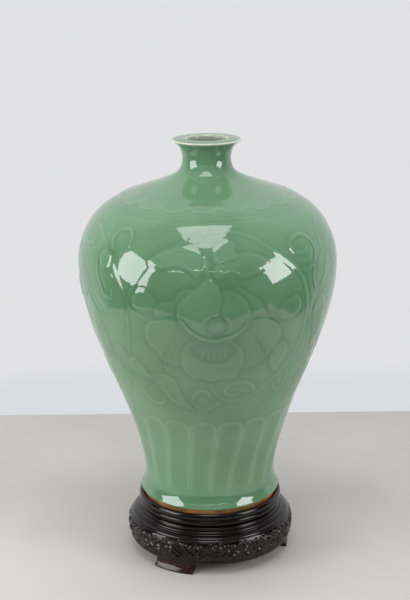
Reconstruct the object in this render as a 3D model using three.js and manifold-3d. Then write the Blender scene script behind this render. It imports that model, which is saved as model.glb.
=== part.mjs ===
// A celadon plum vase (meiping) standing loose in the seat of a turned and carved hardwood stand.
// Millimetres, +Z up. The origin is on the table, under the common axis of the vase and the stand.
import * as THREE from 'three';
import { mergeVertices } from 'three/addons/utils/BufferGeometryUtils.js';
import Module from 'manifold-3d';

const wasm = await Module();
wasm.setup();

// ---- Driving dimensions -----------------------------------------------------------------------

const SIDES = 48; // facets round every thrown or turned piece
const FIT = 0.3; // radial clearance between a piece and the one it is let into

// Heights above the table where one piece ends and the next begins
const FOOT_TOP_Z = 12;
const DRUM_TOP_Z = 42.3;
const WAIST_TOP_Z = 49.5;
const SEAT_Z = 60;

// Vase
const VASE_WALL = 5.8; // measured square to the surface
const FOOT_RING_R = 70; // outside of the unglazed foot ring
const FOOT_RING_WIDTH = 12;
const FOOT_RECESS = 5; // the base is hollowed this far inside the foot ring
const BASE_THICKNESS = 8;
const GLAZE_LINE_Z = 69; // the glaze stops here, in a slight roll
const GLAZE_LINE_R = 73.4;
const LIP_R = 35;
const LIP_TOP_Z = 441.5;
const MOUTH_R = 19.4;

// Outline of the thrown body from the glaze line to the underside of the lip: radius, height
const BODY_OUTLINE = [
  [72.9, 70.4], [69.9, 77], [68.7, 88], [72.6, 115], [85.5, 160], [105.4, 210], [122.8, 260],
  [131.9, 304], [129.3, 337], [114.5, 365], [92.1, 382], [69, 391], [44.2, 400], [29.3, 408],
  [24.6, 419], [26.9, 431.5], [32.8, 437.6],
];
const INSIDE_STEPS = 22; // rows of facets up the inside
const OUTSIDE_STEPS = 30; // rows of facets up the outside

// Stand
const SEAT_RECESS_R = 71.6; // wall of the recess that keeps the foot ring from sliding
const BOARD_R = 66;
const BOARD_THICKNESS = 8;
const LEDGE_R = 60; // the ledge that carries the seat board
const RIM_SPIGOT_R = 64; // turned spigot of the rim inside the waist
const RIM_SPIGOT_Z = 44;
const WAIST_SPIGOT_R = 68.4; // turned spigot of the waist inside the drum
const WAIST_SPIGOT_Z = 38;
const DRUM_BORE_R = 64;
const DRUM_BASE_R = 84;

// Feet
const FOOT_COUNT = 3;
const FIRST_FOOT_DEG = -118; // counter-clockwise from +X
const FOOT_ARC_DEG = 32;
const FOOT_TOE_R = 84; // outer edge on the table
const FOOT_INNER_R = 67;
const DOWEL_R = 3.5;
const DOWEL_BOTTOM_Z = 4;
const DOWEL_TOP_Z = 26;
const DOWEL_CIRCLE_R = 74.5;
const DOWEL_SPACING_DEG = 16; // between the two dowels of one foot
const DOWEL_SIDES = 12;

// ---- Finishes ---------------------------------------------------------------------------------

function celadonGlaze() {
  return new THREE.MeshStandardMaterial({ color: 0x7fae8b, roughness: 0.12, metalness: 0 });
}

function blackLacquer() {
  return new THREE.MeshStandardMaterial({ color: 0x17100f, roughness: 0.28, metalness: 0 });
}

function redBrownLacquer() {
  return new THREE.MeshStandardMaterial({ color: 0x351412, roughness: 0.25, metalness: 0 });
}

function bareHardwood() {
  return new THREE.MeshStandardMaterial({ color: 0x5a3a28, roughness: 0.7, metalness: 0 });
}

// ---- Solids -----------------------------------------------------------------------------------

// A closed mesh turned about Z. The profile is [radius, height] pairs, counter-clockwise with the
// radius to the right, and either closes on itself or starts and ends on the axis.
function turned(profile, sides = SIDES) {
  const geometry = new THREE.LatheGeometry(profile.map(([r, z]) => new THREE.Vector2(r, z)), sides);
  geometry.rotateX(Math.PI / 2);
  return welded(geometry);
}

function welded(geometry) {
  geometry.deleteAttribute('normal');
  geometry.deleteAttribute('uv');
  return mergeVertices(geometry, 1e-4);
}

// A profile that runs round a ring and comes back to its first point
function ring(profile) {
  return turned([...profile, profile[0]]);
}

function solidOf(geometry) {
  return new wasm.Manifold(new wasm.Mesh({
    numProp: 3,
    vertProperties: new Float32Array(geometry.attributes.position.array),
    triVerts: new Uint32Array(geometry.index.array),
  }));
}

function geometryOf(solid) {
  const mesh = solid.getMesh();
  const geometry = new THREE.BufferGeometry();
  geometry.setAttribute('position', new THREE.BufferAttribute(new Float32Array(mesh.vertProperties), 3));
  geometry.setIndex(new THREE.BufferAttribute(new Uint32Array(mesh.triVerts), 1));
  return geometry;
}

function upright(radius, bottom, top) {
  const post = new THREE.CylinderGeometry(radius, radius, top - bottom, DOWEL_SIDES);
  post.rotateX(Math.PI / 2);
  post.translate(0, 0, (top + bottom) / 2);
  return welded(post);
}

function onCircle(geometry, radius, degrees) {
  const angle = THREE.MathUtils.degToRad(degrees);
  return geometry.translate(radius * Math.cos(angle), radius * Math.sin(angle), 0);
}

// ---- Vase -------------------------------------------------------------------------------------

// The outline as a smooth curve, cut into equal steps
function outlinePoints(steps) {
  const corners = BODY_OUTLINE.map(([r, z]) => new THREE.Vector3(r, z, 0));
  const curve = new THREE.CatmullRomCurve3(corners, false, 'centripetal');
  return curve.getSpacedPoints(steps).map((p) => [p.x, p.y]);
}

// The same curve moved inwards by the thickness of the wall, from the floor up into the neck
function insidePoints() {
  const fine = outlinePoints(INSIDE_STEPS * 8);
  const moved = fine.slice(1, -1).map(([r, z], i) => {
    const along = new THREE.Vector2(fine[i + 2][0] - fine[i][0], fine[i + 2][1] - fine[i][1]).normalize();
    return [r - VASE_WALL * along.y, z + VASE_WALL * along.x];
  });
  const floorZ = SEAT_Z + FOOT_RECESS + BASE_THICKNESS;
  const neckZ = LIP_TOP_Z - 14;
  return moved.filter(([, z], i) => i % 8 === 0 && z > floorZ + 6 && z < neckZ);
}

function vaseGeometry() {
  const baseZ = SEAT_Z + FOOT_RECESS;
  const floorZ = baseZ + BASE_THICKNESS;
  const recessR = FOOT_RING_R - FOOT_RING_WIDTH;
  const foot = [
    [0, baseZ],
    [recessR - 1, baseZ],
    [recessR, SEAT_Z],
    [FOOT_RING_R, SEAT_Z],
    [FOOT_RING_R + 0.9, SEAT_Z + 5],
    [GLAZE_LINE_R - 1, GLAZE_LINE_Z - 0.5],
    [GLAZE_LINE_R, GLAZE_LINE_Z],
  ];
  const lip = [
    [LIP_R, LIP_TOP_Z - 2.4],
    [LIP_R, LIP_TOP_Z - 1.6],
    [LIP_R - 1.4, LIP_TOP_Z - 0.9],
    [LIP_R - 5, LIP_TOP_Z - 0.4],
    [MOUTH_R + 3, LIP_TOP_Z],
    [MOUTH_R + 1, LIP_TOP_Z - 0.7],
    [MOUTH_R, LIP_TOP_Z - 2.4],
    [MOUTH_R, LIP_TOP_Z - 9],
  ];
  const inside = insidePoints().reverse();
  const wallFootR = inside[inside.length - 1][0];
  const floor = [
    [wallFootR - 3, floorZ + 1.5],
    [wallFootR - 10, floorZ],
    [0, floorZ],
  ];
  return turned([...foot, ...outlinePoints(OUTSIDE_STEPS), ...lip, ...inside, ...floor]);
}

// ---- Stand ------------------------------------------------------------------------------------

// Rim: a half-round bead over a swelling, with the recess, the rebate for the seat board and the
// spigot that centres it on the waist
function rimGeometry() {
  return ring([
    [RIM_SPIGOT_R - FIT, RIM_SPIGOT_Z],
    [RIM_SPIGOT_R - FIT, WAIST_TOP_Z],
    [72, WAIST_TOP_Z],
    [74.2, 51],
    [75.3, 53.2],
    [75, 55.6],
    [74.2, 56.5],
    [75.2, 57.4],
    [75.8, 59.6],
    [75.5, 62],
    [74.3, 63.9],
    [73, 64.3],
    [SEAT_RECESS_R, 63.4],
    [SEAT_RECESS_R, SEAT_Z],
    [BOARD_R, SEAT_Z],
    [BOARD_R, SEAT_Z - BOARD_THICKNESS],
    [LEDGE_R, SEAT_Z - BOARD_THICKNESS],
    [LEDGE_R, RIM_SPIGOT_Z],
  ]);
}

function seatBoardGeometry() {
  const edge = BOARD_R - FIT;
  return turned([
    [0, SEAT_Z - BOARD_THICKNESS],
    [edge, SEAT_Z - BOARD_THICKNESS],
    [edge, SEAT_Z],
    [0, SEAT_Z],
  ]);
}

// Waist: a sharp arris under the groove and two beads, each a little wider than the last
function waistGeometry() {
  return ring([
    [RIM_SPIGOT_R, WAIST_SPIGOT_Z],
    [WAIST_SPIGOT_R, WAIST_SPIGOT_Z],
    [WAIST_SPIGOT_R, DRUM_TOP_Z],
    [79.3, DRUM_TOP_Z],
    [79.8, 43],
    [79.2, 43.9],
    [77.7, 44.2],
    [77.4, 45.4],
    [76.2, 46.2],
    [74.4, 46.4],
    [74.2, 48],
    [72, WAIST_TOP_Z],
    [RIM_SPIGOT_R, WAIST_TOP_Z],
  ]);
}

// Drum: the carved apron, which swells to its widest about halfway up
function drumGeometry(dowelHoles) {
  const drum = solidOf(ring([
    [DRUM_BORE_R, FOOT_TOP_Z],
    [DRUM_BASE_R, FOOT_TOP_Z],
    [85.2, 15],
    [86.6, 20],
    [87.6, 26],
    [87.5, 31],
    [86.5, 35],
    [84.6, 38.6],
    [82.4, 41.2],
    [79.9, DRUM_TOP_Z],
    [WAIST_SPIGOT_R + FIT, DRUM_TOP_Z],
    [WAIST_SPIGOT_R + FIT, WAIST_SPIGOT_Z],
    [DRUM_BORE_R, WAIST_SPIGOT_Z],
  ]));
  return geometryOf(drum.subtract(dowelHoles));
}

// Foot: a shoe cut from a ring, hollowed outside so that its toe flares on to the table
function footGeometry(degrees, dowelHoles) {
  const shoe = solidOf(ring([
    [FOOT_INNER_R, 0],
    [FOOT_TOE_R, 0],
    [FOOT_TOE_R, 2.2],
    [82.2, 4.4],
    [81.2, 7.6],
    [81.6, 10.4],
    [82.6, FOOT_TOP_Z],
    [FOOT_INNER_R, FOOT_TOP_Z],
  ]));
  return geometryOf(shoe.intersect(wedge(degrees)).subtract(dowelHoles));
}

// A slice of cake round the given direction, tall enough to cut a foot from its ring
function wedge(degrees) {
  const half = THREE.MathUtils.degToRad(FOOT_ARC_DEG / 2);
  const reach = 2 * FOOT_TOE_R;
  const slice = new THREE.Shape([
    new THREE.Vector2(0, 0),
    new THREE.Vector2(reach, -reach * Math.tan(half)),
    new THREE.Vector2(reach, reach * Math.tan(half)),
  ]);
  const block = new THREE.ExtrudeGeometry(slice, { depth: 2 * FOOT_TOP_Z, bevelEnabled: false });
  block.translate(0, 0, -FOOT_TOP_Z / 2);
  block.rotateZ(THREE.MathUtils.degToRad(degrees));
  return solidOf(welded(block));
}

// ---- Assembly ---------------------------------------------------------------------------------

const group = new THREE.Group();

function add(name, geometry, material) {
  const mesh = new THREE.Mesh(geometry, material);
  mesh.name = name;
  group.add(mesh);
}

add('vase', vaseGeometry(), celadonGlaze());
add('stand_rim', rimGeometry(), blackLacquer());
add('seat_board', seatBoardGeometry(), blackLacquer());
add('waist_ring', waistGeometry(), blackLacquer());

const footAngles = Array.from({ length: FOOT_COUNT }, (_, i) => FIRST_FOOT_DEG + (i * 360) / FOOT_COUNT);
const dowelAngles = footAngles.map((a) => [a - DOWEL_SPACING_DEG / 2, a + DOWEL_SPACING_DEG / 2]);

// One hole for both dowels of a foot, a little larger than the dowels all round
function dowelHoles(angles) {
  return angles
    .map((a) => solidOf(onCircle(
      upright(DOWEL_R + FIT, DOWEL_BOTTOM_Z - FIT, DOWEL_TOP_Z + FIT), DOWEL_CIRCLE_R, a)))
    .reduce((all, one) => all.add(one));
}

const allHoles = dowelHoles(dowelAngles.flat());
add('carved_drum', drumGeometry(allHoles), blackLacquer());

footAngles.forEach((angle, i) => {
  add(`foot_${i + 1}`, footGeometry(angle, dowelHoles(dowelAngles[i])), redBrownLacquer());
  dowelAngles[i].forEach((dowelAngle, j) => {
    const dowel = onCircle(upright(DOWEL_R, DOWEL_BOTTOM_Z, DOWEL_TOP_Z), DOWEL_CIRCLE_R, dowelAngle);
    add(`foot_${i + 1}_dowel_${j + 1}`, dowel, bareHardwood());
  });
});

export default group;
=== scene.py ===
"""A celadon plum vase, thrown and carved, standing loose in a turned and carved lacquered stand.

Shapes are drawn in millimetres and degrees and made in metres, +Z up, with the origin on the table
under the common axis. Degrees run round the axis from the front (-Y) towards +X.
"""

import math
from contextlib import contextmanager

import bmesh
import bpy
import numpy as np
from mathutils import Matrix, Quaternion, Vector


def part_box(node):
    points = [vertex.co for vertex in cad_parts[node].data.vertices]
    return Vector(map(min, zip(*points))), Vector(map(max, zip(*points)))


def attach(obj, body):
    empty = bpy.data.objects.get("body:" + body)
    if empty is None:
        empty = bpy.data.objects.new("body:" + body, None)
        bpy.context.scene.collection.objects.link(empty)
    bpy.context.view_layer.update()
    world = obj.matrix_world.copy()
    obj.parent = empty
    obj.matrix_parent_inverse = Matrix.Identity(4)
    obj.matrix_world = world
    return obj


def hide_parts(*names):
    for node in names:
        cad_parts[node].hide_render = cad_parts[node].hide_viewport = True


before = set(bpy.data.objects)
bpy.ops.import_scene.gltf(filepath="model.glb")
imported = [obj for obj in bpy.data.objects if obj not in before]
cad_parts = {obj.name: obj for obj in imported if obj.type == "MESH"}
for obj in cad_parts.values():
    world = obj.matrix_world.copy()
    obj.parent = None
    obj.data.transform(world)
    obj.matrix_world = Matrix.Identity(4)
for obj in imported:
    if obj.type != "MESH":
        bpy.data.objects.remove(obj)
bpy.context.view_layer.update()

bl_info = {
    "name": "Carved Plum Vase",
    "version": (1, 0, 0),
    "blender": (4, 5, 0),
    "location": "View3D > Sidebar > Plum Vase",
    "description": "A carved celadon plum vase on its lacquered wooden stand, with a plain studio",
    "category": "Add Mesh",
}

MM = 0.001

# ---- Places taken from the frame, in mm ---------------------------------------------------------


def low_mm(node):
    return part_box(node)[0].z / MM


def high_mm(node):
    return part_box(node)[1].z / MM


SEAT_Z = low_mm("vase")
LIP_Z = high_mm("vase")
FOOT_NODES = ["foot_1", "foot_2", "foot_3"]

# ---- Thrown shape of the vase -------------------------------------------------------------------

WALL = 5.8  # thickness of the wall, mm
FLOOR_HEIGHT = 13  # the floor inside, above the seat
BASE_RECESS = 5  # the base is hollowed this far inside the foot ring
GLAZE_TOP_Z = 71.4  # where the roll at the edge of the glaze runs out into the body
CARVED_FROM_Z = 187  # the scrolls are carved between these two heights
CARVED_TO_Z = 402
NECK_TOP_Z = 436
CLAY_HEIGHT = 8.55  # bare clay from the seat up to here
POOL_TOP_Z = 88  # below this the glaze has run down and lies thick over the foot
POOL_HEIGHT = 8  # down to this far above the seat
POOL_INSIDE_R = 60  # and only outside this
POOL_DEPTH = 0.35  # it looks as dark as in a cut this deep, mm
LIP_EDGE_R = 33.4  # outside this the glaze has run off the edge of the lip
MOUTH_EDGE_R = 21  # the glaze is thin on this rounded edge, and thinner than outside down the mouth

# Outline of the body, radius and height, from the glaze line to the underside of the lip
BODY_OUTLINE = [
    (72.9, 70.4), (69.9, 77), (68.7, 88), (72.6, 115), (85.5, 160), (105.4, 210), (122.8, 260),
    (131.9, 304), (129.3, 337), (114.5, 365), (92.1, 382), (69, 391), (44.2, 400), (29.3, 408),
    (24.6, 419), (26.9, 431.5), (32.8, 437.6),
]
# Bare clay of the foot, then the roll of glaze: radius, height above the seat
FOOT_PROFILE = [(69.4, 0), (69.9, 0.4), (70.4, 3), (71, 5.4), (71.8, 7.6), (72.3, 8.5)]
GLAZE_ROLL = [(72.9, 8.6), (73.4, 9.2), (73.45, 9.9), (73.1, 10.7)]
# Lip: radius, depth below the top of the lip
LIP_PROFILE = [
    (33.6, 3.2), (34.6, 2.6), (35, 2.1), (35, 1.6), (34.6, 1.2), (33.6, 0.9), (31.6, 0.6), (29, 0.3),
    (26, 0.05), (23.6, 0), (22.2, 0.1), (21.1, 0.45), (20.2, 1), (19.7, 1.8), (19.45, 2.8),
    (19.4, 5), (19.4, 9),
]

# Facets round the axis in each band of the vase
INSIDE_COLUMNS = 75
NECK_COLUMNS = 150
LOWER_COLUMNS = 340
CARVED_COLUMNS = 530

# ---- Carved design of the vase ------------------------------------------------------------------

FLOWER_DEG = [3.5, 123.5, 243.5]  # three flower heads round the body
GAP_RIGHT_OF = FLOWER_DEG[:1]  # flowers with the right-hand gap design beside them
GAP_LEFT_OF = [FLOWER_DEG[0], FLOWER_DEG[2]]  # and with the left-hand one

# Points are degrees from the flower's axis and height in mm. Ribbons are stems and tendrils of a
# given width; leaves and petals are closed outlines.
RING_STEMS = [
    (3.4, [(-12, 365), (-2, 370), (8, 370), (16, 366), (24, 355), (31, 344), (37, 331), (41, 315),
           (43, 298), (44, 280), (44, 264), (42, 246), (38, 231), (32, 217), (24, 206), (17, 199),
           (9, 197), (3, 202), (-1, 211), (-2, 222)]),
    (3.4, [(-6, 365), (-14, 361), (-22, 355), (-28, 344), (-34, 326), (-38, 308), (-40, 290),
           (-41, 272), (-43, 254), (-47, 232)]),
]
TENDRILS = [
    (4.2, [(-43, 211), (-41, 201), (-37, 192), (-31, 192), (-28, 201), (-30, 210), (-35, 211),
           (-36, 204)]),
    (3.6, [(-10, 190), (-12, 197), (-11, 206), (-8, 211), (-4, 209), (-3, 202)]),
    (3.4, [(-12, 194), (-7, 188), (-1, 191), (3, 197)]),
    (4.0, [(13, 205), (8, 204), (5, 210), (8, 217), (14, 219), (20, 213), (21, 206)]),
    (3.4, [(41, 224), (41, 210), (38, 202), (34, 205), (33, 211)]),
    (3.4, [(-39, 303), (-38, 295), (-34, 293), (-32, 287), (-29, 289), (-28, 296)]),
]
OUTER_LEAVES = [
    [(-34, 224), (-27, 228), (-21, 223), (-19, 211), (-17, 199), (-13, 188), (-19, 190), (-25, 197),
     (-28, 207)],
    [(31, 226), (27, 238), (28, 252), (32, 260), (35, 256), (36, 244), (34, 233)],
    [(-55, 246), (-50, 252), (-47, 245), (-46, 233), (-48, 219), (-52, 232)],
    [(-47, 231), (-42, 242), (-38, 236), (-36, 227), (-33, 220), (-40, 221)],
    [(-37, 303), (-34, 297), (-29, 296), (-25, 303), (-27, 312), (-32, 317)],
    [(31, 283), (27, 290), (30, 301), (36, 306), (39, 299), (38, 288)],
]
TOP_LEAVES = [
    [(-29, 343), (-24, 352), (-16, 358), (-9, 356), (-5, 347), (-5, 338), (-8, 332), (-12, 338),
     (-17, 341), (-23, 338)],
    [(-1, 332), (3, 331), (6, 335), (11, 330), (17, 333), (24, 340), (20, 348), (13, 352),
     (10, 351), (6, 346), (2, 345)],
    [(0, 346), (6, 346), (10, 350), (8, 354), (9, 359), (7, 363), (2, 361), (-1, 353)],
]
FLOWER_STALK = (4.5, [(-5, 349), (-4, 340), (-3, 328)])
BACK_PETALS = [
    [(-14, 286), (-24, 288), (-26, 296), (-23, 306), (-18, 309), (-15, 317), (-10, 321), (-5, 318),
     (-8, 300)],
    [(3, 318), (9, 321), (13, 315), (18, 307), (21, 298), (23, 288), (13, 283), (9, 300)],
]
SIDE_PETALS = [
    [(-14, 288), (-20, 291), (-27, 288), (-31, 279), (-32, 268), (-30, 258), (-27, 253), (-26, 246),
     (-22, 240), (-17, 240), (-14, 250), (-11, 263), (-13, 275)],
    [(12, 284), (17, 289), (23, 287), (28, 280), (30, 270), (29, 259), (26, 251), (24, 244), (19, 238),
     (13, 235), (12, 248), (10, 263)],
]
FRONT_PETAL = [
    (-11, 266), (-15, 257), (-16, 245), (-15, 233), (-11, 226), (-6, 225), (-2, 222), (3, 225),
    (9, 226), (12, 235), (13, 247), (11, 258), (6, 267), (-3, 269),
]
FAN = [(-11, 264), (-11, 253), (-7, 245), (-1, 242), (5, 244), (9, 251), (8, 263), (-1, 268)]
HEART_PETALS = [
    [(3, 319), (8, 316), (12, 308), (14, 296), (13, 284), (7, 273), (-1, 269), (-3, 285), (0, 300),
     (1, 311)],
    [(-3, 330), (-7, 323), (-12, 314), (-16, 302), (-15, 288), (-10, 275), (-1, 269), (1, 284),
     (1, 300), (2, 312), (0, 324)],
]
HEART_RIM = (4.0, [(-15, 289), (-11, 278), (-6, 271), (-1, 268.5), (5, 271), (10, 277), (13, 285)])
SEED = ((0, 284), 8.8)

RIGHT_GAP_TENDRILS = [
    (3.4, [(43, 329), (50, 330), (55, 335), (57, 347), (59, 358), (65, 366), (73, 368)]),
    (3.8, [(37, 331), (43, 328), (48, 333), (51, 343), (50, 353), (45, 360), (39, 359), (36, 353),
           (38, 346), (43, 344), (46, 349)]),
    (3.4, [(48, 329), (47, 317), (49, 305)]),
    (3.4, [(70, 342), (66, 328), (65, 312)]),
    (4.0, [(60, 232), (67, 224), (67, 210), (60, 201), (53, 204), (53, 213), (58, 217)]),
]
RIGHT_GAP_LEAVES = [
    [(60, 335), (63, 325), (58, 315), (52, 308), (55, 318), (57, 328)],
    [(53, 298), (59, 290), (62, 272), (61, 252), (57, 238), (54, 252), (51, 272), (49, 287)],
]
LEFT_GAP_TENDRILS = [
    (3.6, [(-82, 362), (-72, 365), (-64, 361), (-56, 352), (-50, 341), (-46, 328), (-42, 314),
           (-39, 302)]),
    (3.4, [(-84, 343), (-76, 333), (-68, 316), (-63, 300), (-58, 287), (-53, 279), (-47, 286)]),
    (4.0, [(-59, 340), (-58, 326), (-55, 313), (-52, 303), (-48, 303), (-48, 311)]),
    (3.6, [(-73, 362), (-77, 355), (-75, 348), (-69, 347), (-66, 352), (-70, 355)]),
    (4.0, [(-49, 349), (-52, 357), (-50, 366), (-45, 368), (-41, 363), (-41, 355)]),
    (4.0, [(-60, 232), (-67, 224), (-67, 210), (-60, 201), (-54, 204), (-54, 212), (-59, 215)]),
]
LEFT_GAP_LEAVES = [
    [(-57, 338), (-55, 346), (-51, 345), (-50, 336), (-53, 329)],
    [(-66, 298), (-60, 276), (-58, 256), (-60, 240), (-66, 250), (-70, 270), (-70, 288)],
]

# Collar of tongues round the neck and tall panels round the waist
COLLAR_TONGUES = 18
COLLAR_FIRST_DEG = -2.5
COLLAR_EDGE_Z = 383.2
COLLAR_SAG = 6.5  # how far a tongue's end rises from its middle to its corners, mm
COLLAR_LINES_Z = [380.4, 377.6]
PANELS = 20
PANEL_EDGE_DEG = 4.5  # where one panel meets the next
PANEL_TOP_Z = 171
PANEL_FOOT_Z = 82

# ---- Stand --------------------------------------------------------------------------------------

RING_COLUMNS = 240
DRUM_COLUMNS = 720
FOOT_ARC_DEG = 32
FOOT_STEPS = 28  # facets along one foot
SCROLLS_PER_SIDE = 11  # columns of scrolls between one foot and the next
SCROLL_ROWS = [(31, 5.0), (20.5, 4.6)]  # height of the middle and reach, mm
SPRIG_ROWS = [(33.5, 2.4), (24, -3)]  # height of the middle and half the rise, mm
ARCHES = [(16.5, 37), (13.8, 33), (11.1, 29), (8.4, 25)]  # over each foot: reach in degrees, top in mm

# Each list is a run of the profile, radius and height in mm: runs are smoothed, their ends stay sharp
RIM_PROFILE = [
    [(63.7, 44), (63.7, 49.5)],
    [(63.7, 49.5), (71.6, 49.6)],
    [(71.6, 49.6), (73.6, 50.2), (75, 52), (75.4, 54), (74.9, 55.9), (73.9, 56.7)],
    [(73.9, 56.7), (75, 57.3), (75.8, 59.4), (75.7, 61.4), (74.9, 63.2), (73.6, 64.2), (72.5, 64.1),
     (71.75, 63.4), (71.6, 62.4)],
    [(71.6, 62.4), (71.6, 60)],
    [(71.6, 60), (66, 60)],
    [(66, 60), (66, 52)],
    [(66, 52), (60, 52)],
    [(60, 52), (60, 44)],
    [(60, 44), (63.7, 44)],
]
WAIST_PROFILE = [
    [(64, 38), (68.4, 38)],
    [(68.4, 38), (68.4, 42.3)],
    [(68.4, 42.3), (79.1, 42.3)],
    [(79.1, 42.3), (79.75, 42.7), (79.8, 43.3), (79.2, 43.9), (78.1, 44.1)],
    [(78.1, 44.1), (77.9, 44.9), (77.1, 45.8), (75.9, 46.2), (75, 46.2)],
    [(75, 46.2), (74.5, 46.9), (74.4, 47.8), (73.9, 48.7), (72.6, 49.2), (71.4, 49.4)],
    [(71.4, 49.4), (64, 49.4)],
    [(64, 49.4), (64, 38)],
]
DRUM_OUTLINE = [
    (84, 12), (84.6, 12.8), (85.4, 15.5), (86.6, 20), (87.4, 25), (87.5, 30), (86.6, 34.6),
    (84.7, 38.4), (82.4, 41), (80.4, 42.2),
]
DRUM_INSIDE = [(68.8, 42.2), (68.8, 38), (64, 38), (64, 12)]
FOOT_OUTLINE = [(82.3, 12), (81.5, 10.6), (81.2, 8), (81.7, 5.2), (83, 3), (83.9, 1.6), (84, 0.5)]
FOOT_BACK = [(83.7, 0), (67.4, 0), (67, 0.4), (67, 12)]
FOOT_NARROWING = 0.07  # how much its ends are drawn in under the drum, as a share

# ---- Studio -------------------------------------------------------------------------------------

# Softboxes and strip: name, place in metres, width and height, turn about its own axis in degrees
LAMPS = [
    ("softbox_left", (-1.18, -0.55, 0.50), (0.80, 0.80), -14),
    ("softbox_right", (1.15, -0.66, 0.53), (0.58, 0.66), 20),
    ("softbox_top", (-0.03, -0.51, 1.37), (0.56, 1.0), 0),
    ("strip_front", (-0.4, -1.75, 0.98), (3.2, 0.016), 0),
]
LAMPS_AIM = (0, -0.1, 0.34)
RIGHT_SHARE = 0.68  # power of the right softbox, as a share of the left one's
STRIP_SHARE = 0.3  # power of the strip, as a share of the top light's
TABLE_SIZE = (1.15, 0.847, 1)
TABLE_MIDDLE = (-0.03, -0.0465, -0.0002)
CAMERA_PLACE = (0, -1.2852, 0.6485)
CAMERA_ANGLES = (16.32, -0.14, -0.62)  # down, round and rolled, in degrees
CAMERA_LENS = 77.6  # mm, on a 36 mm sensor


# ---- Colours and nodes --------------------------------------------------------------------------


def linear(hex_colour):
    """An sRGB hex colour as linear red, green and blue."""
    channels = [int(hex_colour[i:i + 2], 16) / 255 for i in (1, 3, 5)]
    return [c / 12.92 if c <= 0.04045 else ((c + 0.055) / 1.055) ** 2.4 for c in channels]


def add_node(tree, kind, inputs=None, **settings):
    """Adds a node, sets it up, and fills or links its inputs by name or number."""
    node = tree.nodes.new(kind)
    for name, value in settings.items():
        setattr(node, name, value)
    for socket, value in (inputs or {}).items():
        if isinstance(value, bpy.types.NodeSocket):
            tree.links.new(value, node.inputs[socket])
        else:
            node.inputs[socket].default_value = value
    return node


def new_material(name):
    """An empty node material and its tree."""
    material = bpy.data.materials.new(name)
    material.use_nodes = True
    material.node_tree.nodes.clear()
    return material, material.node_tree


def finish_material(material, shader, normal=None):
    tree = material.node_tree
    if normal is not None:
        tree.links.new(normal, shader.inputs["Normal"])
    add_node(tree, "ShaderNodeOutputMaterial", {"Surface": shader.outputs[0]})
    return material


def blended(tree, factor, first, second):
    """The colour first where factor is 0 and second where it is 1."""
    mix = add_node(tree, "ShaderNodeMix", {0: factor, 6: first, 7: second}, data_type="RGBA")
    return mix.outputs[2]


def ranged(tree, value, low, high, to_low=0.0, to_high=1.0):
    node = add_node(
        tree, "ShaderNodeMapRange",
        {"Value": value, "From Min": low, "From Max": high, "To Min": to_low, "To Max": to_high},
        interpolation_type="SMOOTHSTEP",
    )
    return node.outputs[0]


def noise(tree, size_mm, detail=2.0, stretch=(1, 1, 1), roughness=0.5):
    """Noise whose features are about size_mm across, on the piece's own place in space."""
    place = add_node(tree, "ShaderNodeTexCoord").outputs["Object"]
    mapping = add_node(tree, "ShaderNodeMapping", {"Vector": place, "Scale": stretch})
    texture = add_node(
        tree, "ShaderNodeTexNoise",
        {"Vector": mapping.outputs[0], "Scale": 1 / (size_mm * MM), "Detail": detail,
         "Roughness": roughness},
    )
    return texture.outputs["Fac"]


def celadon_glaze(look):
    """Celadon: a thick clear glaze, green with a little iron, over white carved porcelain.

    It pools dark in the cuts and runs thin and pale over raised edges, which draws the carving.
    """
    material, tree = new_material("celadon_glaze")
    relief = add_node(tree, "ShaderNodeAttribute", attribute_name="relief").outputs["Fac"]
    thin = add_node(tree, "ShaderNodeAttribute", attribute_name="thin").outputs["Fac"]
    pooled = ranged(tree, relief, -0.55, 0.0, 0.45, 0.0)
    raised = ranged(tree, relief, 0.05, 0.5, 0.0, 0.4)
    mottled = noise(tree, 70, 3)
    plain, light = (*look.glaze, 1), (*look.glaze_light, 1)
    body = blended(tree, ranged(tree, mottled, 0.35, 0.65), plain, light)
    cut = blended(tree, pooled, body, (*look.glaze_deep, 1))
    edged = blended(tree, raised, cut, (*look.glaze_thin, 1))
    speckle = ranged(tree, noise(tree, 1.6, 1), 0.6, 0.78, 0.0, 0.25)  # pinholes and bubbles
    colour = blended(tree, speckle, edged, light)
    colour = blended(tree, thin, colour, (*look.glaze_bare, 1))
    ripple = add_node(
        tree, "ShaderNodeBump",
        {"Height": noise(tree, 22, 2), "Strength": 0.35, "Distance": 0.0004},
    )
    shader = add_node(
        tree, "ShaderNodeBsdfPrincipled",
        {"Base Color": colour, "Roughness": 0.055, "IOR": 1.66, "Subsurface Weight": 0.12,
         "Subsurface Radius": (0.6, 1.0, 0.7), "Subsurface Scale": 0.003},
    )
    return finish_material(material, shader, ripple.outputs[0])


def foot_clay(look):
    """Bare stoneware clay: unglazed, burnt orange-brown in the kiln, matt, with fine turning lines."""
    material, tree = new_material("bare_fired_clay")
    grain = noise(tree, 1.2, 3)
    blush = noise(tree, 18, 2)
    body = blended(tree, ranged(tree, blush, 0.35, 0.65), (*look.clay, 1), (*look.clay_light, 1))
    colour = blended(tree, ranged(tree, grain, 0.55, 0.75, 0.0, 0.5), body, (*linear("#553b27"), 1))
    lines = noise(tree, 0.7, 1, (0.02, 0.02, 1))
    bump = add_node(tree, "ShaderNodeBump", {"Height": lines, "Strength": 0.3, "Distance": 0.0003})
    shader = add_node(tree, "ShaderNodeBsdfPrincipled", {"Base Color": colour, "Roughness": 0.85})
    return finish_material(material, shader, bump.outputs[0])


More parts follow.
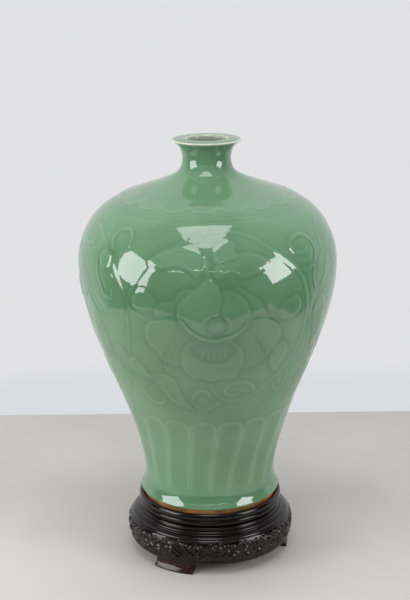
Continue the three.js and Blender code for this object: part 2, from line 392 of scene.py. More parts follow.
def lacquer(name, deep, worn, wear, roughness):
    """Lacquered hardwood: near-black stain under a glossy rubbed varnish.

    The grain shows as faint streaks, and raised parts are rubbed towards the brown of the wood.
    """
    material, tree = new_material(name)
    relief = add_node(tree, "ShaderNodeAttribute", attribute_name="relief").outputs["Fac"]
    streaks = noise(tree, 2.2, 4, (1, 1, 0.12))
    grain = ranged(tree, streaks, 0.42, 0.68, 0.0, 0.6)
    body = blended(tree, grain, (*deep, 1), (*worn, 1))
    rubbed = ranged(tree, relief, 0.35, 1.5, 0.0, wear)
    colour = blended(tree, rubbed, body, (*worn, 1))
    sheen = ranged(tree, noise(tree, 9, 3), 0.3, 0.7, roughness * 0.8, roughness * 1.25)
    pores = add_node(
        tree, "ShaderNodeBump",
        {"Height": noise(tree, 0.9, 3, (1, 1, 0.2)), "Strength": 0.12, "Distance": 0.0002},
    )
    shader = add_node(
        tree, "ShaderNodeBsdfPrincipled",
        {"Base Color": colour, "Roughness": sheen, "IOR": 1.4},
    )
    return finish_material(material, shader, pores.outputs[0])


def bare_hardwood():
    """Rosewood left unfinished, as turned for a dowel: matt, with long grain along its length."""
    material, tree = new_material("bare_rosewood")
    streaks = noise(tree, 1.5, 4, (1, 1, 0.06))
    colour = blended(
        tree, ranged(tree, streaks, 0.35, 0.65), (*linear("#5a3524"), 1), (*linear("#83543a"), 1))
    bump = add_node(tree, "ShaderNodeBump", {"Height": streaks, "Strength": 0.2, "Distance": 0.0002})
    shader = add_node(tree, "ShaderNodeBsdfPrincipled", {"Base Color": colour, "Roughness": 0.7})
    return finish_material(material, shader, bump.outputs[0])


def studio_paper(look):
    """Matt white paper laid on the table, faintly uneven, which shows only soft shadows."""
    material, tree = new_material("matt_studio_paper")
    cloudy = noise(tree, 160, 2)
    shade = [c * 0.93 for c in look.floor]
    colour = blended(tree, ranged(tree, cloudy, 0.3, 0.7), (*look.floor, 1), (*shade, 1))
    shader = add_node(tree, "ShaderNodeBsdfPrincipled", {"Base Color": colour, "Roughness": 0.7})
    return finish_material(material, shader)


# ---- Curves -------------------------------------------------------------------------------------


def smoothed(points, steps=10, closed=False):
    """A smooth curve through the points (centripetal Catmull-Rom), as an array of points."""
    p = np.array(points, float)
    if closed:
        p = np.vstack([p[-1], p, p[0], p[1]])
    else:
        p = np.vstack([2 * p[0] - p[1], p, 2 * p[-1] - p[-2]])
    t = np.linspace(0, 1, steps, endpoint=False)[:, None]
    runs = []
    for a, b, c, d in zip(p[:-3], p[1:-2], p[2:-1], p[3:]):
        ab, bc, cd = (math.sqrt(np.linalg.norm(v)) for v in (b - a, c - b, d - c))
        start = ((b - a) / ab - (c - a) / (ab + bc) + (c - b) / bc) * bc
        end = ((c - b) / bc - (d - b) / (bc + cd) + (d - c) / cd) * bc
        bend = 3 * (c - b) - 2 * start - end
        twist = 2 * (b - c) + start + end
        runs.append(b + start * t + bend * t**2 + twist * t**3)
    if not closed:
        runs.append(p[-2:-1])
    return np.vstack(runs)


def arc_lengths(points):
    steps = np.linalg.norm(np.diff(points, axis=0), axis=1)
    return np.concatenate([[0], np.cumsum(steps)])


class Turned:
    """The outline of a turned surface: radius, outward slope and distance along it, by height."""

    def __init__(self, outline):
        self.points = smoothed(outline, 40)
        self.along = arc_lengths(self.points)
        self.z = self.points[:, 1]
        tangent = np.gradient(self.points, axis=0)
        tangent /= np.linalg.norm(tangent, axis=1)[:, None]
        self.tangent = tangent

    def radius(self, z):
        return np.interp(z, self.z, self.points[:, 0])

    def distance(self, z):
        return np.interp(z, self.z, self.along)

    def normal(self, z):
        """Outward direction across the surface as radial and upward parts."""
        up = np.interp(z, self.z, self.tangent[:, 1])
        out = np.interp(z, self.z, self.tangent[:, 0])
        size = np.hypot(up, out)
        return up / size, -out / size

    def rows(self, low, high, step):
        """Points about step mm apart along the outline between two heights."""
        start, end = self.distance(low), self.distance(high)
        count = max(2, round((end - start) / step) + 1)
        along = np.linspace(start, end, count)
        return np.column_stack([np.interp(along, self.along, c) for c in self.points.T])


BODY = Turned(BODY_OUTLINE)
DRUM = Turned(DRUM_OUTLINE)


# ---- Carving ------------------------------------------------------------------------------------


def ease(x):
    x = np.clip(x, 0, 1)
    return x * x * (3 - 2 * x)


class Carving:
    """Relief over a turned surface, in mm out from the ground, carved shape over shape."""

    def __init__(self, surface, degrees, z):
        self.surface = surface
        self.degrees = degrees
        self.z = z
        self.along = surface.distance(z)
        self.mm_per_degree = surface.radius(z) * math.pi / 180
        self.relief = np.zeros(len(z))

    def near(self, centre_deg, outline, reach):
        """Which points lie within reach mm of a shape, and where, in the shape's own degrees."""
        turn = (self.degrees - centre_deg - outline[:, 0].mean() + 180) % 360 - 180
        turn += outline[:, 0].mean()
        margin = reach / self.mm_per_degree
        inside = (turn > outline[:, 0].min() - margin) & (turn < outline[:, 0].max() + margin)
        inside &= self.along > outline[:, 1].min() - reach
        inside &= self.along < outline[:, 1].max() + reach
        chosen = np.flatnonzero(inside)
        return chosen, turn[chosen]

    def path(self, points, closed=False):
        """A smooth path through points of degrees and height, as degrees and distance along."""
        line = smoothed(points, 8, closed)
        line[:, 1] = self.surface.distance(line[:, 1])
        return line

    def distance_to(self, chosen, turn, line, widths=None):
        """Distance in mm of the chosen points from a path, less the path's half width there."""
        scale = self.mm_per_degree[chosen]
        best = np.full(len(chosen), 1e9)
        for i in range(len(line) - 1):
            ax = line[i, 0] * scale
            bx = line[i + 1, 0] * scale - ax
            by = line[i + 1, 1] - line[i, 1]
            px = turn * scale - ax
            py = self.along[chosen] - line[i, 1]
            share = np.clip((px * bx + py * by) / np.maximum(bx * bx + by * by, 1e-9), 0, 1)
            gap = np.hypot(px - share * bx, py - share * by)
            if widths is not None:
                gap -= widths[i] + share * (widths[i + 1] - widths[i])
            best = np.minimum(best, gap)
        return best

    def lay(self, chosen, inside_mm, ridge, cut, fade, flat):
        """Carves one shape over what is there: a raised edge inside, a slanting cut outside."""
        below = self.relief[chosen]
        depth = np.maximum(inside_mm, 0)
        raised = ridge * (flat + (1 - flat) * np.exp(-(depth / 3.0) ** 2))
        slant = np.exp(np.minimum(inside_mm, 0) / fade)
        ground = below * (1 - slant) - cut * slant
        edge = ease((inside_mm + 1.2) / 2.4)
        self.relief[chosen] = raised * edge + ground * (1 - edge)

    def leaf(self, centre_deg, points, ridge=0.25, cut=0.55, fade=3.6, flat=0.2):
        """A closed petal or leaf."""
        outline = self.path(points, closed=True)
        loop = np.vstack([outline, outline[:1]])
        chosen, turn = self.near(centre_deg, outline, 12)
        inside_mm = self.distance_to(chosen, turn, loop)
        crossings = np.zeros(len(chosen), bool)
        for (ax, ay), (bx, by) in zip(loop[:-1], loop[1:]):
            level = self.along[chosen]
            spans = (ay > level) != (by > level)
            where = ax + (level - ay) * (bx - ax) / (by - ay if by != ay else 1)
            crossings ^= spans & (turn < where)
        inside_mm[~crossings] *= -1
        self.lay(chosen, inside_mm, ridge, cut, fade, flat)

    def ribbon(self, centre_deg, width, points, ridge=0.27, cut=0.45, fade=2.6, taper=True):
        """A stem or tendril, thinning towards its ends."""
        line = self.path(points)
        share = np.linspace(0, 1, len(line))
        widths = width / 2 * (1 - (0.45 * np.abs(2 * share - 1) ** 3 if taper else 0 * share))
        chosen, turn = self.near(centre_deg, line, 12)
        inside_mm = -self.distance_to(chosen, turn, line, widths)
        self.lay(chosen, inside_mm, ridge, cut, fade, 0.8)

    def score(self, centre_deg, width, depth, points):
        """A line scored into what is there."""
        line = self.path(points)
        chosen, turn = self.near(centre_deg, line, 4)
        gap = self.distance_to(chosen, turn, line)
        self.relief[chosen] -= depth * np.exp(-(gap / (width / 2)) ** 2)

    def bead(self, centre_deg, middle, radius, ridge=0.5, cut=0.5):
        """A round raised bead with a cut round it."""
        spot = np.array([[middle[0], float(self.surface.distance(middle[1]))]])
        chosen, turn = self.near(centre_deg, spot, radius + 8)
        sideways = (turn - spot[0, 0]) * self.mm_per_degree[chosen]
        gap = np.hypot(sideways, self.along[chosen] - spot[0, 1])
        self.lay(chosen, radius - gap, ridge, cut, 2.2, 0.6)


def fan_lines(middle, low, high, spread, count):
    """Lines that open out from a middle point, as pairs of ends."""
    lines = []
    for i in range(count):
        share = i / (count - 1) * 2 - 1
        lines.append([
            (middle[0] + 0.45 * spread * share, high),
            (middle[0] + 0.8 * spread * share, (low + high) / 2 + 2 * abs(share)),
            (middle[0] + spread * share, low + 8 * share * share),
        ])
    return lines


def carve_scrolls(carving, at, tendrils, leaves):
    for width, points in tendrils:
        carving.ribbon(at, width, points)
    for outline in leaves:
        carving.leaf(at, outline)


def carve_flower(carving, at):
    """One flower head with its ring of stem, leaves and petals, from the back to the front."""
    carve_scrolls(carving, at, RING_STEMS + TENDRILS, OUTER_LEAVES + TOP_LEAVES)
    carving.ribbon(at, *FLOWER_STALK)
    for outline in BACK_PETALS + SIDE_PETALS:
        carving.leaf(at, outline)
    for side in (-1, 1):
        for i in range(4):
            start, drop = 15 + 2.6 * i, 9 * i
            carving.score(at, 2.6, 0.26, [
                (side * start - 1, 280 - drop), (side * (start + 3), 268 - drop),
                (side * (start + 3), 258 - drop)])
    carving.leaf(at, FRONT_PETAL)
    carving.leaf(at, FAN, ridge=-0.4, cut=-0.1, fade=1.6, flat=1)
    for line in fan_lines((-1, 255), 247, 266, 8, 7):
        carving.score(at, 2.4, -0.3, line)
    for outline in HEART_PETALS:
        carving.leaf(at, outline)
    carving.ribbon(at, *HEART_RIM, ridge=0.38, cut=0.42, fade=4.5)
    carving.bead(at, *SEED, ridge=-0.12, cut=0.75)


def carve_collar(carving):
    """Rounded tongues lying side by side on the shoulder, and two lines scored below them."""
    pitch = 360 / COLLAR_TONGUES
    turn = (carving.degrees - COLLAR_FIRST_DEG + pitch / 2) % pitch - pitch / 2
    share = np.abs(turn) / (pitch / 2)
    from_edge = carving.along - carving.surface.distance(COLLAR_EDGE_Z) - COLLAR_SAG * share**2.4
    from_side = (1 - share) * (pitch / 2) * carving.mm_per_degree
    chosen = np.flatnonzero((carving.z > 374) & (carving.z < 404))
    before = carving.relief[chosen]
    inside_mm = np.minimum(from_edge, from_side)[chosen]
    carving.lay(chosen, inside_mm, 0.36, 0.4, 1.8, 0.1)
    fading = 1 - 0.85 * ease((from_edge[chosen] - 3) / 12)
    carving.relief[chosen] = before + (carving.relief[chosen] - before) * fading
    for height in COLLAR_LINES_Z:
        gap = carving.along - carving.surface.distance(height)
        carving.relief -= 0.3 * np.exp(-((gap / 1.1) ** 2))


def panel_lean(degrees, drop):
    """How far a hand-cut rib has drifted round, in degrees, at a share of the way down."""
    drift = -5.2 + 1.6 * np.sin(np.radians(7 * degrees + 150))
    return drift * drop**1.5 + 1.4 * np.sin(2 * math.pi * drop) * (1 - drop)


def carve_panels(carving):
    """Tall lotus panels with arched tops, hand cut and leaning a little, with a rib between each."""
    pitch = 360 / PANELS
    drop = np.clip((PANEL_TOP_Z - carving.z) / (PANEL_TOP_Z - PANEL_FOOT_Z), 0, 1)
    straight = carving.degrees - panel_lean(carving.degrees, drop)
    turn = (straight - PANEL_EDGE_DEG) % pitch - pitch / 2
    half = pitch / 2 * carving.mm_per_degree
    corner = half * 0.8
    from_top = carving.surface.distance(PANEL_TOP_Z) - carving.along
    across = np.abs(turn) * carving.mm_per_degree - half + corner
    up = corner - from_top
    rounded = np.hypot(np.maximum(across, 0), np.maximum(up, 0))
    inside_mm = corner - rounded - np.minimum(np.maximum(across, up), 0)
    chosen = np.flatnonzero(carving.z < PANEL_TOP_Z + 14)
    z = carving.z[chosen]
    shape = inside_mm[chosen]
    rib = 0.46 * np.exp(-((np.maximum(shape, 0) / 3.2) ** 2)) - 0.18 * ease(shape / 9)
    outside = -0.42 * np.exp(np.minimum(shape, 0) / 2.4)
    edge = ease((shape + 1.5) / 3)
    fading = ease((z - PANEL_FOOT_Z + 2) / 12)
    carving.relief[chosen] += (rib * edge + outside * (1 - edge)) * fading


# ---- Mesh tools ---------------------------------------------------------------------------------


def clear_selection():
    if bpy.context.mode != "OBJECT":
        bpy.ops.object.mode_set(mode="OBJECT")
    bpy.ops.object.select_all(action="DESELECT")


def make_active(piece):
    clear_selection()
    piece.select_set(True)
    bpy.context.view_layer.objects.active = piece


@contextmanager
def editing(piece):
    """Edit mode on one piece, with all of it selected."""
    make_active(piece)
    bpy.ops.object.mode_set(mode="EDIT")
    bpy.ops.mesh.select_all(action="SELECT")
    yield
    bpy.ops.object.mode_set(mode="OBJECT")


def drawn(name, points, edges=(), faces=()):
    """A new piece from points of radius and height in mm, in the plane that faces the front."""
    mesh = bpy.data.meshes.new(name)
    mesh.from_pydata([(0, -r * MM, z * MM) for r, z in points], edges, faces)
    piece = bpy.data.objects.new(name, mesh)
    bpy.context.scene.collection.objects.link(piece)
    return piece


def spin(steps, angle):
    bpy.ops.mesh.spin(steps=steps, angle=angle, center=(0, 0, 0), axis=(0, 0, 1))
    bpy.ops.mesh.select_all(action="SELECT")


def spun(name, profile, columns, closed=False):
    """Draws a profile of radius and height in mm as a chain of edges and spins it about the axis."""
    edges = [(i, i + 1) for i in range(len(profile) - 1)]
    if closed:
        edges.append((len(profile) - 1, 0))
    piece = drawn(name, profile, edges)
    with editing(piece):
        spin(columns, 2 * math.pi)
        bpy.ops.mesh.remove_doubles(threshold=2e-6)
        bpy.ops.mesh.normals_make_consistent(inside=False)
    return piece


def joined(pieces):
    """Joins the pieces into the first one."""
    make_active(pieces[0])
    for piece in pieces:
        piece.select_set(True)
    bpy.ops.object.join()
    return pieces[0]


def vertex_places(piece):
    places = np.empty(len(piece.data.vertices) * 3, np.float32)
    piece.data.vertices.foreach_get("co", places)
    return places.reshape(-1, 3).astype(float)


def around(piece):
    """Where each vertex is: degrees round the axis, height and radius in mm."""
    places = vertex_places(piece)
    degrees = np.degrees(np.arctan2(places[:, 0], -places[:, 1]))
    return degrees, places[:, 2] / MM, np.hypot(places[:, 0], places[:, 1]) / MM


def move_vertices(piece, places):
    piece.data.vertices.foreach_set("co", places.astype(np.float32).ravel())
    piece.data.update()


def bridge_loops(piece, first, second):
    """Closes the band between two open edges, each given as its radius and height in mm."""
    _, height, radius = around(piece)
    on_edge = np.zeros(len(radius), bool)
    for r, z in (first, second):
        on_edge |= (np.abs(radius - r) < 0.02) & (np.abs(height - z) < 0.02)
    with editing(piece):
        mesh = bmesh.from_edit_mesh(piece.data)
        bpy.ops.mesh.select_all(action="DESELECT")
        bpy.context.tool_settings.mesh_select_mode = (False, True, False)
        for edge in mesh.edges:
            edge.select = edge.is_boundary and all(on_edge[end.index] for end in edge.verts)
        bmesh.update_edit_mesh(piece.data)
        bpy.ops.mesh.bridge_edge_loops()


def point_outwards(piece):
    with editing(piece):
        bpy.ops.mesh.normals_make_consistent(inside=False)


def shade_smooth(piece, degrees=None):
    make_active(piece)
    if degrees is None:
        bpy.ops.object.shade_smooth()
    else:
        bpy.ops.object.shade_smooth_by_angle(angle=math.radians(degrees))


def store(piece, name, values):
    """Keeps a number for each vertex, for a material to read."""
    attributes = piece.data.attributes
    attribute = attributes.get(name) or attributes.new(name, "FLOAT", "POINT")
    attribute.data.foreach_set("value", values.astype(np.float32))


def carve_into(piece, surface, degrees, z, relief):
    """Moves the vertices out from the turned surface by their relief, and keeps it for shading."""
    out, up = surface.normal(z)
    angle = np.radians(degrees)
    amount = relief * MM
    places = vertex_places(piece)
    places[:, 0] += amount * out * np.sin(angle)
    places[:, 1] -= amount * out * np.cos(angle)
    places[:, 2] += amount * up
    move_vertices(piece, places)
    store(piece, "relief", relief)


def mount_piece(piece, body, nodes, materials):
    """Gives a finished piece its materials and body, and hides the CAD nodes it stands for."""
    for material in materials:
        piece.data.materials.append(material)
    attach(piece, body)
    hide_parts(*nodes)


# ---- Settings -----------------------------------------------------------------------------------


def colour_setting(name, description, hex_colour):
    return bpy.props.FloatVectorProperty(
        name=name, description=description, subtype="COLOR", size=3, min=0, max=1,
        default=linear(hex_colour))


class PLUMVASE_PG_vase(bpy.types.PropertyGroup):
    """Sizes and colours of the vase"""

    relief: bpy.props.FloatProperty(
        name="Carving depth", description="Share of the full depth of the carving", default=1.0,
        min=0.0, max=2.0, subtype="FACTOR")
    glaze: colour_setting("Glaze", "Celadon over the plain ground", "#658e6b")
    glaze_light: colour_setting(
        "Glaze, light", "Celadon where the coat is a little thinner", "#6f9775")
    glaze_deep: colour_setting("Glaze, pooled", "Celadon in the cuts", "#486f51")
    glaze_thin: colour_setting("Glaze, thin", "Celadon over raised edges", "#9abd9c")
    glaze_bare: colour_setting(
        "Glaze, lip", "Where the glaze has run off the edge of the lip", "#d9dccb")
    clay: colour_setting("Clay", "Bare clay of the foot", "#7a5226")
    clay_light: colour_setting("Clay, light", "Paler blush of the bare clay", "#a8763c")


class PLUMVASE_PG_stand(bpy.types.PropertyGroup):
    """Sizes and colours of the stand"""

    relief: bpy.props.FloatProperty(
        name="Carving depth", description="Share of the full depth of the carving", default=1.0,
        min=0.0, max=1.5, subtype="FACTOR")
    black: colour_setting("Lacquer", "Near-black lacquer", "#070404")
    black_worn: colour_setting("Lacquer, worn", "Lacquer rubbed towards the wood", "#1e1110")
    red: colour_setting("Foot lacquer", "Red-brown lacquer of the feet", "#1f0a0a")
    red_worn: colour_setting("Foot lacquer, worn", "Rubbed red-brown lacquer", "#4a1b17")


class PLUMVASE_PG_studio(bpy.types.PropertyGroup):
    """The plain studio round the object"""

    floor: colour_setting("Table", "Paper on the table", "#d2cfc9")
    wall: colour_setting("Wall", "Pale wall behind", "#e2e2e4")
    wall_low: colour_setting("Wall, foot", "Pale skirting at the foot of the wall", "#d9dce1")
    room: colour_setting("Room", "Dim room towards the camera", "#272729")
    ceiling: colour_setting("Ceiling", "Ceiling over the table", "#a2a2a4")
    side_light: bpy.props.FloatProperty(
        name="Side light", description="Power of the left softbox; the right one has two thirds of it",
        default=12.5, min=0.0, unit="POWER")
    top_light: bpy.props.FloatProperty(
        name="Top light", description="Power of the softbox overhead", default=6.5, min=0.0,
        unit="POWER")


# ---- Operators ----------------------------------------------------------------------------------


class PLUMVASE_OT_vase(bpy.types.Operator):
    """Throw the vase, carve its body and glaze it"""

    bl_idname = "plumvase.vase"
    bl_label = "Vase"

    def execute(self, context):
        look = context.scene.plumvase_vase
        piece = self.thrown()
        degrees, z, radius = around(piece)
        outside = (radius > BODY.radius(z) - 0.5) & (z > GLAZE_TOP_Z) & (z < NECK_TOP_Z)
        relief = np.zeros(len(z))
        relief[outside] = self.carved(degrees[outside], z[outside]) * look.relief
        carve_into(piece, BODY, degrees, z, relief)
        over_foot = (radius > POOL_INSIDE_R) & (z > SEAT_Z + POOL_HEIGHT)
        store(piece, "relief", relief - POOL_DEPTH * ease((POOL_TOP_Z - z) / 7) * over_foot)
        lip_edge = ease((radius - LIP_EDGE_R) / 1.2) * (z > LIP_Z - 5)
        mouth_edge = 0.75 * np.exp(-(((radius - MOUTH_EDGE_R) / 0.9) ** 2)) * (z > LIP_Z - 3)
        mouth = 0.4 * ease((MOUTH_EDGE_R - radius) / 1.2) * (z > LIP_Z - 60)
        store(piece, "thin", np.clip(np.maximum(lip_edge, mouth_edge) + mouth, 0, 1))
        self.split_foot(piece)
        shade_smooth(piece)
        mount_piece(piece, "vase", ["vase"], [celadon_glaze(look), foot_clay(look)])
        return {"FINISHED"}

    def thrown(self):
        """The plain vase as one closed shell, finer where it is carved."""
        foot = [(r, SEAT_Z + z) for r, z in FOOT_PROFILE + GLAZE_ROLL]
        lower = foot + [tuple(p) for p in BODY.rows(GLAZE_TOP_Z + 1.5, 118, 4.2)]
        lower += [tuple(p) for p in BODY.rows(122, 152, 4.2)]
        lower += [tuple(p) for p in BODY.rows(154, 176, 1.9)]
        lower += [tuple(p) for p in BODY.rows(178.5, CARVED_FROM_Z - 2.5, 3.5)]
        carved = [tuple(p) for p in BODY.rows(CARVED_FROM_Z, CARVED_TO_Z, 1.95)]
        neck = [tuple(p) for p in BODY.rows(CARVED_TO_Z + 1, NECK_TOP_Z, 2.2)]
        neck += [(r, LIP_Z - z) for r, z in LIP_PROFILE]
        inside = self.inside(neck[-1])
        base = SEAT_Z + BASE_RECESS
        underside = [(68.6, SEAT_Z), (57.6, SEAT_Z), (57.2, SEAT_Z + 0.5), (56.6, base), (0, base)]
        shells = [
            spun("vase_body", carved, CARVED_COLUMNS),
            spun("lower", lower, LOWER_COLUMNS),
            spun("neck", neck, NECK_COLUMNS),
            spun("inside", inside, INSIDE_COLUMNS),
            spun("underside", underside, INSIDE_COLUMNS),
        ]
        piece = joined(shells)
        bridge_loops(piece, lower[-1], carved[0])
        bridge_loops(piece, carved[-1], neck[0])
        bridge_loops(piece, neck[-1], inside[0])
        bridge_loops(piece, lower[0], underside[0])
        point_outwards(piece)
        return piece

    def inside(self, mouth):
        """The inner face: the outline moved in by the wall, from the mouth down to the floor."""
        rows = BODY.rows(84, 429, 14)[::-1]
        out, up = BODY.normal(rows[:, 1])
        inner = np.column_stack([rows[:, 0] - WALL * out, rows[:, 1] - WALL * up])
        start = (mouth[0] - 0.9, mouth[1] - 2.5)
        kept = [tuple(p) for p in inner if p[1] < start[1] - 3]
        floor = SEAT_Z + FLOOR_HEIGHT
        return [start] + kept + [(56, floor + 2.2), (48, floor), (0, floor)]

    def carved(self, degrees, z):
        """Relief in mm of the collar, the flower scrolls and the panels."""
        carving = Carving(BODY, degrees, z)
        for at in GAP_RIGHT_OF:
            carve_scrolls(carving, at, RIGHT_GAP_TENDRILS, RIGHT_GAP_LEAVES)
        for at in GAP_LEFT_OF:
            carve_scrolls(carving, at, LEFT_GAP_TENDRILS, LEFT_GAP_LEAVES)
        for at in FLOWER_DEG:
            carve_flower(carving, at)
        carve_collar(carving)
        carve_panels(carving)
        return carving.relief

    def split_foot(self, piece):
        """Faces below the glaze line are bare clay."""
        line = (SEAT_Z + CLAY_HEIGHT) * MM
        for face in piece.data.polygons:
            bare = face.center.z < line and math.hypot(face.center.x, face.center.y) > 56 * MM
            underneath = face.center.z < (SEAT_Z + BASE_RECESS + 1) * MM
            face.material_index = 1 if bare or underneath else 0


class PLUMVASE_OT_turned_rings(bpy.types.Operator):
    """Turn the rim and the waist of the stand"""

    bl_idname = "plumvase.turned_rings"
    bl_label = "Turned Rings"

    def execute(self, context):
        look = context.scene.plumvase_stand
        finish = lacquer("black_lacquered_hardwood", look.black, look.black_worn, 0.5, 0.08)
        for name, node, profile in (
            ("turned_rim", "stand_rim", RIM_PROFILE),
            ("turned_waist", "waist_ring", WAIST_PROFILE),
        ):
            points = []
            for run in profile:
                curve = smoothed(run, 5) if len(run) > 2 else np.array(run, float)
                points += [tuple(p) for p in curve[:-1]]
            piece = spun(name, points, RING_COLUMNS, closed=True)
            shade_smooth(piece, 42)
            mount_piece(piece, "stand", [node], [finish])
        return {"FINISHED"}


class PLUMVASE_OT_carved_drum(bpy.types.Operator):
    """Turn the drum of the stand and carve its apron"""

    bl_idname = "plumvase.carved_drum"
    bl_label = "Carved Drum"

    def execute(self, context):
        look = context.scene.plumvase_stand
        outer = [tuple(p) for p in DRUM.rows(DRUM_OUTLINE[0][1], DRUM_OUTLINE[-1][1], 0.75)]
        profile = outer + DRUM_INSIDE
        piece = spun("carved_apron", profile, DRUM_COLUMNS, closed=True)
        degrees, z, radius = around(piece)
        outside = radius > DRUM.radius(z) - 0.3
        relief = np.zeros(len(z))
        relief[outside] = self.carved(degrees[outside], z[outside]) * look.relief
        carve_into(piece, DRUM, degrees, z, relief)
        shade_smooth(piece, 60)
        finish = lacquer("rubbed_lacquer_on_carving", look.black, look.black_worn, 0.6, 0.1)
        mount_piece(piece, "stand", ["carved_drum"], [finish])
        return {"FINISHED"}

    def carved(self, degrees, z):
        """Relief in mm: scrolls between the feet, nested arches over each foot, plain borders."""
        carving = Carving(DRUM, degrees, z)
        feet = [foot_degrees(node) for node in FOOT_NODES]
        step = 120 / SCROLLS_PER_SIDE
        for foot in feet:
            for i in range(1, SCROLLS_PER_SIDE):
                at = foot + i * step
                hand = 1 if i <= SCROLLS_PER_SIDE / 2 else -1
                upper = i % 2 == 0
                for middle, size in SCROLL_ROWS:
                    scroll = curl((0, middle), size * 0.78, size, 1.25, hand, upper)
                    carving.ribbon(at, 2.3, scroll, ridge=1.2, cut=0.9, fade=0.9)
                    upper = not upper
                for middle, lift in SPRIG_ROWS:
                    rise = lift if i % 3 else -lift
                    sprig = [(-2.8 * hand, middle - rise), (0.3, middle), (2.6 * hand, middle + rise)]
                    carving.ribbon(at + step / 2, 2.6, sprig, ridge=0.9, cut=0.8, fade=0.9)
            for reach, top in ARCHES:
                arch = [(-reach, 13.5), (-reach * 0.93, 20), (-reach * 0.6, top - 4), (0, top),
                        (reach * 0.6, top - 4), (reach * 0.93, 20), (reach, 13.5)]
                carving.ribbon(foot, 1.9, arch, ridge=1.1, cut=0.7, fade=0.8, taper=False)
            for hand in (-1, 1):
                inner = curl((3.3 * hand, 18), 2.4, 3.2, 1.3, hand, True)
                carving.ribbon(foot, 1.6, inner, ridge=0.9, cut=0.7, fade=0.8)
        low = carving.along
        high = carving.along.max() - carving.along
        border = 0.75 * np.exp(-(((low - 2.6) / 1.5) ** 2))
        border -= 0.55 * np.exp(-(((low - 5.4) / 0.7) ** 2))
        carving.relief = carving.relief * ease((low - 4.6) / 1.4) * ease((high - 4.2) / 2.2) + border
        carving.relief -= 0.4 * np.exp(-(((high - 4.4) / 0.7) ** 2))
        return carving.relief


def curl(middle, wide_deg, tall_mm, turns, hand, rising):
    """A scroll that winds in to its middle: degrees and height, from its outer end."""
    points = []
    steps = 11
    for i in range(steps):
        share = i / (steps - 1)
        angle = 2 * math.pi * turns * share + (math.pi * 0.75 if rising else -math.pi * 0.75)
        size = 1 - 0.82 * share
        points.append((
            middle[0] + hand * wide_deg * size * math.cos(angle),
            middle[1] + tall_mm * size * math.sin(angle),
        ))
    return points


def foot_degrees(node):
    """Direction of a foot round the axis, from the middle of its box."""
    low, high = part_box(node)
    middle = (low + high) / 2
    return math.degrees(math.atan2(middle.x, -middle.y))


class PLUMVASE_OT_feet(bpy.types.Operator):
    """Cut the three shoe-shaped feet"""

    bl_idname = "plumvase.feet"
    bl_label = "Feet"

    def execute(self, context):
        look = context.scene.plumvase_stand
        finish = lacquer("red_brown_lacquered_hardwood", look.red, look.red_worn, 0.3, 0.1)
        for number, node in enumerate(FOOT_NODES, 1):
            piece = self.shoe(f"shoe_foot_{number}", foot_degrees(node))
            shade_smooth(piece, 40)
            mount_piece(piece, "stand", [node], [finish])
        return {"FINISHED"}

    def shoe(self, name, degrees):
        """A short arc of the foot's section, capped, with its ends drawn in and its edges rounded."""
        section = [tuple(p) for p in smoothed(FOOT_OUTLINE, 3)] + FOOT_BACK
        piece = drawn(name, section, faces=[tuple(range(len(section)))])
        half = math.radians(FOOT_ARC_DEG / 2)
        with editing(piece):
            spin(FOOT_STEPS, 2 * half)
            bpy.ops.mesh.normals_make_consistent(inside=False)
        places = vertex_places(piece)
        spread = np.arctan2(places[:, 0], -places[:, 1])
        middle = (spread.max() + spread.min()) / 2
        radius = np.hypot(places[:, 0], places[:, 1])
        height = places[:, 2] / MM
        share = (spread - middle) / half
        narrowing = FOOT_NARROWING * np.sin(np.clip(height / 12, 0, 1) * math.pi * 0.8)
        turned = math.radians(degrees) + share * half * (1 - narrowing * np.abs(share) ** 3)
        places[:, 0] = radius * np.sin(turned)
        places[:, 1] = -radius * np.cos(turned)
        move_vertices(piece, places)
        bevel = piece.modifiers.new("rounded edges", "BEVEL")
        bevel.width = 0.7 * MM
        bevel.segments = 3
        bevel.limit_method = "ANGLE"
        bevel.angle_limit = math.radians(38)
        make_active(piece)
        bpy.ops.object.modifier_apply(modifier=bevel.name)
        return piece


class PLUMVASE_OT_hidden_parts(bpy.types.Operator):
    """Finish the seat board and the dowels, which keep their CAD shapes"""

    bl_idname = "plumvase.hidden_parts"
    bl_label = "Seat Board and Dowels"

    def execute(self, context):
        look = context.scene.plumvase_stand
        board = lacquer("thin_lacquer_on_board", look.black, look.black_worn, 0.3, 0.4)
        wood = bare_hardwood()
        for name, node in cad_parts.items():
            if name == "seat_board":
                node.data.materials.clear()
                node.data.materials.append(board)
            elif "dowel" in name:
                node.data.materials.clear()
                node.data.materials.append(wood)
        return {"FINISHED"}


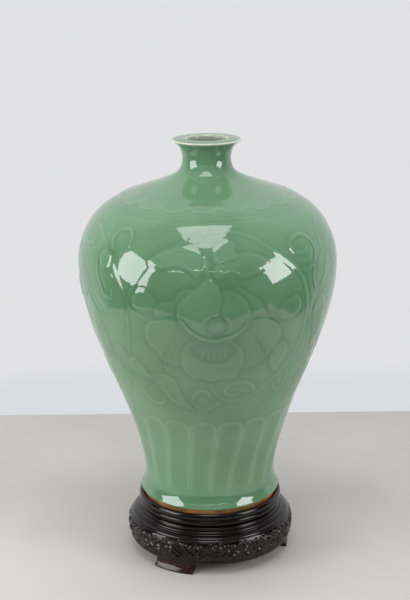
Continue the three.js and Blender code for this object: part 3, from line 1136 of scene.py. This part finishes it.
class PLUMVASE_OT_studio(bpy.types.Operator):
    """Lay the table, light it and set the camera"""

    bl_idname = "plumvase.studio"
    bl_label = "Studio"

    def execute(self, context):
        look = context.scene.plumvase_studio
        self.table(look)
        self.lights(look)
        self.surroundings(context, look)
        self.camera(context)
        context.scene.view_settings.view_transform = "Standard"
        return {"FINISHED"}

    def table(self, look):
        clear_selection()
        bpy.ops.mesh.primitive_plane_add(size=1, location=(0, 0, 0))
        table = bpy.context.active_object
        table.name = "studio_table"
        with editing(table):
            bpy.ops.transform.resize(value=TABLE_SIZE)
            bpy.ops.transform.translate(value=TABLE_MIDDLE)
        table.data.materials.append(studio_paper(look))

    def lights(self, look):
        """Softboxes to the left, right and overhead, and a long thin strip high behind the camera."""
        powers = {
            "softbox_left": look.side_light,
            "softbox_right": look.side_light * RIGHT_SHARE,
            "softbox_top": look.top_light,
            "strip_front": look.top_light * STRIP_SHARE,
        }
        for name, place, size, roll in LAMPS:
            lamp = bpy.data.lights.new(name, "AREA")
            lamp.shape = "RECTANGLE"
            lamp.size, lamp.size_y = size
            lamp.energy = powers[name]
            holder = bpy.data.objects.new(name, lamp)
            holder.location = place
            holder.rotation_mode = "QUATERNION"
            overhead = Vector((0, 0, 1))
            way = overhead if name == "softbox_top" else Vector(place) - Vector(LAMPS_AIM)
            turn = Quaternion((0, 0, 1), math.radians(roll))
            holder.rotation_quaternion = way.to_track_quat("Z", "Y") @ turn
            bpy.context.scene.collection.objects.link(holder)

    def surroundings(self, context, look):
        """The pale wall is seen behind; towards the camera the room is dim."""
        world = bpy.data.worlds.new("studio_room")
        world.use_nodes = True
        tree = world.node_tree
        tree.nodes.clear()
        way = add_node(tree, "ShaderNodeTexCoord").outputs["Generated"]
        parts = add_node(tree, "ShaderNodeSeparateXYZ", {"Vector": way})
        back = ranged(tree, parts.outputs["Y"], 0.1, 0.4)
        above = ranged(tree, parts.outputs["Z"], 0.25, 0.6)
        room = blended(tree, above, (*look.room, 1), (*look.ceiling, 1))
        wall = (*look.wall, 1)
        lit = blended(tree, back, room, wall)
        seen = add_node(tree, "ShaderNodeLightPath").outputs["Is Camera Ray"]
        skirting = ranged(tree, parts.outputs["Z"], -0.34, -0.325)
        behind = blended(tree, skirting, (*look.wall_low, 1), wall)
        colour = blended(tree, seen, lit, behind)
        background = add_node(tree, "ShaderNodeBackground", {"Color": colour, "Strength": 1.0})
        add_node(tree, "ShaderNodeOutputWorld", {"Surface": background.outputs[0]})
        context.scene.world = world

    def camera(self, context):
        """A long lens a little above the vase, looking down sixteen degrees."""
        pitch, turn, roll = (math.radians(d) for d in CAMERA_ANGLES)
        level = math.cos(pitch)
        ahead = Vector((math.sin(turn) * level, math.cos(turn) * level, -math.sin(pitch)))
        right = Vector((math.cos(turn), -math.sin(turn), 0))
        up = right.cross(ahead)
        tilted_right = math.cos(roll) * right + math.sin(roll) * up
        tilted_up = math.cos(roll) * up - math.sin(roll) * right
        data = bpy.data.cameras.new("camera")
        data.sensor_width = 36
        data.lens = CAMERA_LENS
        camera = bpy.data.objects.new("camera", data)
        axes = Matrix((tilted_right, tilted_up, -ahead)).transposed()
        camera.matrix_world = Matrix.Translation(CAMERA_PLACE) @ axes.to_4x4()
        context.scene.collection.objects.link(camera)
        context.scene.camera = camera


class PLUMVASE_PT_panel(bpy.types.Panel):
    """Lists the pieces of the vase and its stand"""

    bl_label = "Carved Plum Vase"
    bl_space_type = "VIEW_3D"
    bl_region_type = "UI"
    bl_category = "Plum Vase"

    def draw(self, context):
        for operator in OPERATORS:
            self.layout.operator(operator.bl_idname)
        for group in ("plumvase_vase", "plumvase_stand", "plumvase_studio"):
            settings = getattr(context.scene, group)
            box = self.layout.box()
            for name in settings.__annotations__:
                box.prop(settings, name)


OPERATORS = [
    PLUMVASE_OT_vase,
    PLUMVASE_OT_turned_rings,
    PLUMVASE_OT_carved_drum,
    PLUMVASE_OT_feet,
    PLUMVASE_OT_hidden_parts,
    PLUMVASE_OT_studio,
]
GROUPS = {
    "plumvase_vase": PLUMVASE_PG_vase,
    "plumvase_stand": PLUMVASE_PG_stand,
    "plumvase_studio": PLUMVASE_PG_studio,
}


def register():
    for name, group in GROUPS.items():
        bpy.utils.register_class(group)
        setattr(bpy.types.Scene, name, bpy.props.PointerProperty(type=group))
    for cls in OPERATORS + [PLUMVASE_PT_panel]:
        bpy.utils.register_class(cls)


def unregister():
    for cls in [PLUMVASE_PT_panel] + OPERATORS[::-1]:
        bpy.utils.unregister_class(cls)
    for name, group in GROUPS.items():
        delattr(bpy.types.Scene, name)
        bpy.utils.unregister_class(group)


def main():
    register()
    bpy.ops.plumvase.vase()
    bpy.ops.plumvase.turned_rings()
    bpy.ops.plumvase.carved_drum()
    bpy.ops.plumvase.feet()
    bpy.ops.plumvase.hidden_parts()
    bpy.ops.plumvase.studio()
    clear_selection()


if __name__ == "__main__":
    main()
